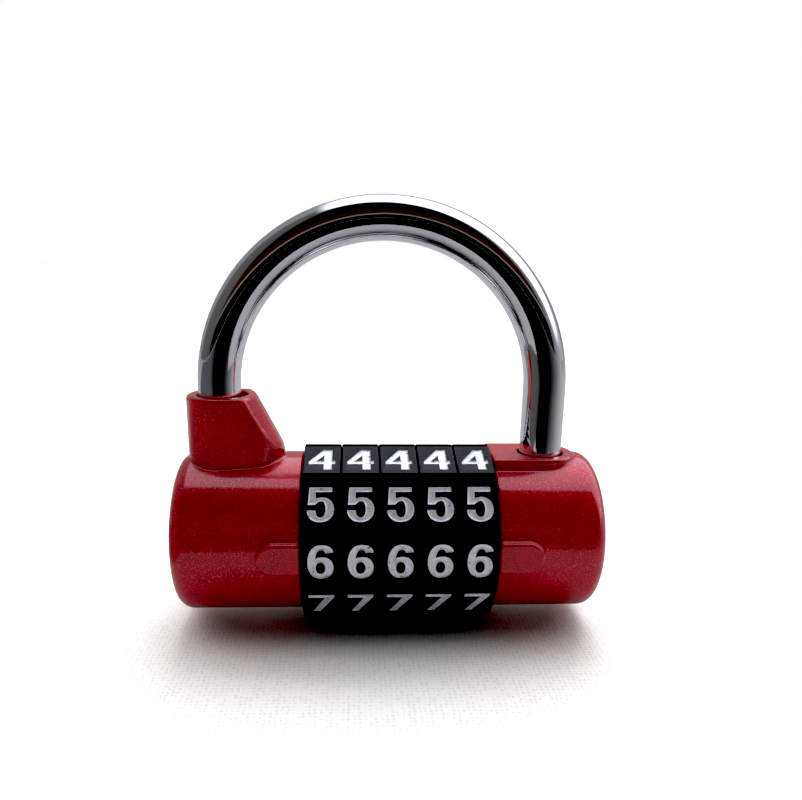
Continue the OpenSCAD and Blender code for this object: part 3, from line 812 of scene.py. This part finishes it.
def plug_mesh():
    """A domed plug, turned about the body's axis."""
    r, rise = PLUG_SEAT_R - 0.01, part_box("end_plug")[1].x / MM - RIGHT_END
    dome = (r * r + rise * rise) / (2 * rise)
    rim = math.asin(r / dome)
    inner = RIGHT_END - PLUG_LENGTH
    profile = [(inner, 0.001), (inner, r - 0.2), (inner + 0.2, r), (RIGHT_END - 0.02, r)]
    profile += [(RIGHT_END + rise - dome + dome * math.cos(t), dome * math.sin(t))
                for t in np.linspace(rim * 0.97, 0.0005, 14)]
    around = np.linspace(0, 2 * math.pi, 72, endpoint=False)
    rows = [np.stack([np.full(len(around), x), q * np.cos(around), q * np.sin(around)], 1)
            for x, q in profile]
    b = Builder()
    for p, q in zip(rows, rows[1:]):
        b.band(p, q)
    return b.mesh("end_plug_domed", 40)


piece("end_plug_domed", plug_mesh(), "body", "red_enamel", "end_plug")


# ---------------------------------------------------------------- floor

def stage_plane(name, x0, x1, y0, y1, z, mat, glossy_only=False):
    """A level rectangle, in metres; glossy_only leaves it to be seen in mirror surfaces alone."""
    mesh = bpy.data.meshes.new(name)
    mesh.from_pydata([(x0, y0, z), (x1, y0, z), (x1, y1, z), (x0, y1, z)], [], [(0, 1, 2, 3)])
    mesh.materials.append(mat)
    obj = place_object(name, mesh)
    if glossy_only:
        for ray in ("camera", "diffuse", "shadow", "transmission", "volume_scatter"):
            setattr(obj, "visible_" + ray, False)
    return obj


def pale_cloth():
    """A dimpled cloth with painted shade in its dimples; mirrored in the lock it is painted a dim grey, a painted
    shade that dims the floor the lock reflects.
    """
    m, nodes, links, bsdf = material("pale_cloth", 0.9)
    dimple = add(nodes, "ShaderNodeTexVoronoi", Scale=1150, Randomness=0.35)
    links.new(add(nodes, "ShaderNodeTexCoord").outputs["Object"], dimple.inputs["Vector"])
    depth = dimple.outputs["Distance"]
    weave = ramp(nodes, links, depth, [(0.05, 0.0), (0.45, 1.0)])
    bump(nodes, links, weave, 0.5, 0.0001, bsdf.inputs["Normal"])
    # painted shade: the cloth is coloured darker (0.74) in its dimples, where shade falls, than on its tops (0.90)
    pale = ramp(nodes, links, depth, [(0.08, (0.74, 0.72, 0.73)), (0.42, (0.90, 0.89, 0.89))])
    mirrored = nodes.new("ShaderNodeLightPath").outputs["Is Glossy Ray"]
    # painted shade: mirror rays see the cloth as a flat dark grey (0.27) instead of its own colour
    links.new(blend(nodes, links, mirrored, pale, (0.27, 0.27, 0.28)), bsdf.inputs["Base Color"])
    return m


def bearing(nodes, links, x, y):
    """Bearing round the lock as 0 to 1: 0.5 is straight in front, 0.25 to the left, 0.75 to the right."""
    angle = math_node(nodes, links, "ARCTAN2", x, math_node(nodes, links, "MULTIPLY", y, -1.0))
    return math_node(nodes, links, "ADD", math_node(nodes, links, "DIVIDE", angle, 2 * math.pi), 0.5)


# How bright the room's sides and the far floor are, by bearing.
SIDES = [(0.17, 0.30), (0.20, 0.14), (0.38, 0.11), (0.43, 0.006), (0.545, 0.004), (0.60, 0.06),
         (0.66, 0.20), (0.72, 0.40), (0.80, 0.55)]


def painted_far_reflection():
    """A painted reflection: a glowing sheet, seen only in mirror surfaces, that paints the far floor and room as
    the lock mirrors them, dark in front and brighter at the sides.
    """
    m = bpy.data.materials.new("painted_far_reflection")
    m.use_nodes = True
    nodes, links = m.node_tree.nodes, m.node_tree.links
    nodes.clear()
    place = add(nodes, "ShaderNodeSeparateXYZ")
    links.new(add(nodes, "ShaderNodeTexCoord").outputs["Object"], place.inputs[0])
    glow = add(nodes, "ShaderNodeEmission")
    brightness = ramp(nodes, links, bearing(nodes, links, place.outputs[0], place.outputs[1]), SIDES)
    links.new(brightness, glow.inputs["Color"])
    links.new(glow.outputs[0], nodes.new("ShaderNodeOutputMaterial").inputs[0])
    return m


# The edges of the bare cloth round the lock, in metres, past which glossy-only glowing sheets paint the far
# floor's reflection.
FRONT_EDGE, BACK_EDGE, LEFT_EDGE, RIGHT_EDGE = -0.105, 0.08, -0.070, 0.105
REFLECTION_SHEET_Z = 0.0003
stage_plane("floor", -3, 3, -3, 3, 0, pale_cloth())
far = painted_far_reflection()
# painted reflection: sheets seen only by mirror rays, glowing near black in front and brighter at the sides
stage_plane("painted_far_reflection_front", -2, 2, -2, FRONT_EDGE, REFLECTION_SHEET_Z, far, True)
stage_plane("painted_far_reflection_left", -2, LEFT_EDGE, FRONT_EDGE, BACK_EDGE, REFLECTION_SHEET_Z, far, True)
stage_plane("painted_far_reflection_right", RIGHT_EDGE, 2, FRONT_EDGE, BACK_EDGE, REFLECTION_SHEET_Z, far, True)


# ---------------------------------------------------------------- studio

def studio():
    """White to the camera, a soft dome to matt surfaces and a room under a canopy to mirrors."""
    world = bpy.data.worlds.new("studio")
    world.use_nodes = True
    world.cycles.sampling_method = "NONE"
    nodes, links = world.node_tree.nodes, world.node_tree.links
    nodes.clear()

    def calc(op, a, b=None):
        return math_node(nodes, links, op, a, b)

    def over(quantity, low, high):
        """A soft step of a quantity, from 0 at low to 1 at high."""
        node = nodes.new("ShaderNodeMapRange")
        node.interpolation_type = "SMOOTHSTEP"
        node.inputs["From Min"].default_value = low
        node.inputs["From Max"].default_value = high
        links.new(quantity, node.inputs["Value"])
        return node.outputs["Result"]

    def leaning(a, b, share):
        """a with a share of b added."""
        return calc("ADD", a, calc("MULTIPLY", b, share))

    direction = add(nodes, "ShaderNodeSeparateXYZ")
    links.new(add(nodes, "ShaderNodeTexCoord").outputs["Generated"], direction.inputs[0])
    dx, dy, dz = direction.outputs
    # a dim room in front, with one pale ledge and a brown band, by height from 0 level to 0.5 overhead
    height = calc("DIVIDE", calc("ARCTAN2", dz, calc("MULTIPLY", dy, -1.0)), math.pi)
    room = ramp(nodes, links, height, [
        (0.0, 0.003), (0.075, 0.004), (0.085, (0.22, 0.20, 0.19)), (0.105, (0.22, 0.20, 0.19)),
        (0.115, (0.050, 0.026, 0.018)), (0.215, (0.040, 0.020, 0.014)), (0.26, 0.003), (0.40, 0.004)])
    walls = ramp(nodes, links, bearing(nodes, links, dx, dy), SIDES)
    sideways = calc("ABSOLUTE", dx)
    at_sides = over(calc("SUBTRACT", sideways, calc("MULTIPLY", dy, -1.4)), -0.15, 0.25)
    mirrored = blend(nodes, links, at_sides, room, walls)
    behind = over(leaning(dy, sideways, -0.35), 0.0, 0.2)
    mirrored = blend(nodes, links, behind, mirrored, (0.30, 0.30, 0.31))
    # the white canopy overhead, which reaches farther to the right than to the left
    front_edge = over(leaning(leaning(dz, dy, 5.1), dx, 1.2), -0.05, 0.14)
    left_edge = over(leaning(dx, dz, 0.40), -0.04, 0.10)
    back_edge = over(leaning(dz, dy, -0.62), -0.02, 0.08)
    overhead = over(dz, 0.05, 0.2)
    canopy = calc("MULTIPLY", calc("MULTIPLY", front_edge, left_edge), calc("MULTIPLY", back_edge, overhead))
    mirrored = blend(nodes, links, canopy, mirrored, (1.55, 1.62, 1.85))
    from_behind = over(leaning(dy, dz, 0.5), -0.05, 0.75)
    dome = blend(nodes, links, from_behind, (0.03, 0.03, 0.03), (2.3, 2.3, 2.3))
    ray = add(nodes, "ShaderNodeLightPath")
    lit = blend(nodes, links, ray.outputs["Is Glossy Ray"], dome, mirrored)
    lit = blend(nodes, links, ray.outputs["Is Camera Ray"], lit, (1.0, 1.0, 1.0))
    background = add(nodes, "ShaderNodeBackground", Strength=1.0)
    links.new(lit, background.inputs["Color"])
    links.new(background.outputs[0], add(nodes, "ShaderNodeOutputWorld").inputs[0])
    return world


scene.world = studio()

softbox = bpy.data.lights.new("softbox", "AREA")
softbox.energy = 4.0
softbox.size = 0.5
lamp = place_object("softbox", softbox)
lamp.visible_glossy = False
lamp.location = (0.1, 0.35, 0.55)
lamp.rotation_euler = (Vector((0, 0, 0.03)) - lamp.location).to_track_quat("-Z", "Y").to_euler()

# a raised black level deepens the darkest tones, as in the photo
scene.view_settings.view_transform = "Standard"
scene.view_settings.use_curve_mapping = True
scene.view_settings.curve_mapping.black_level = (0.024, 0.024, 0.024)


# ---------------------------------------------------------------- camera

lens = bpy.data.cameras.new("camera")
lens.sensor_width = 36
lens.lens = 32.37
lens.shift_x = 0.0132
lens.shift_y = 0.0511
lens.clip_start = 0.01
camera = place_object("camera", lens)
scene.camera = camera
YAW, PITCH, ROLL = 0.0516, 0.2591, 0.0143
STAND = (-0.0068067, -0.134347, 0.0534526 + AXIS_Z * MM)
level = math.cos(PITCH)
forward = Vector((math.sin(YAW) * level, math.cos(YAW) * level, -math.sin(PITCH)))
right = Vector((math.cos(YAW), -math.sin(YAW), 0))
up = right.cross(forward)
side = math.cos(ROLL) * right + math.sin(ROLL) * up
top = -math.sin(ROLL) * right + math.cos(ROLL) * up
camera.matrix_world = Matrix.Translation(STAND) @ Matrix((side, top, -forward)).transposed().to_4x4()
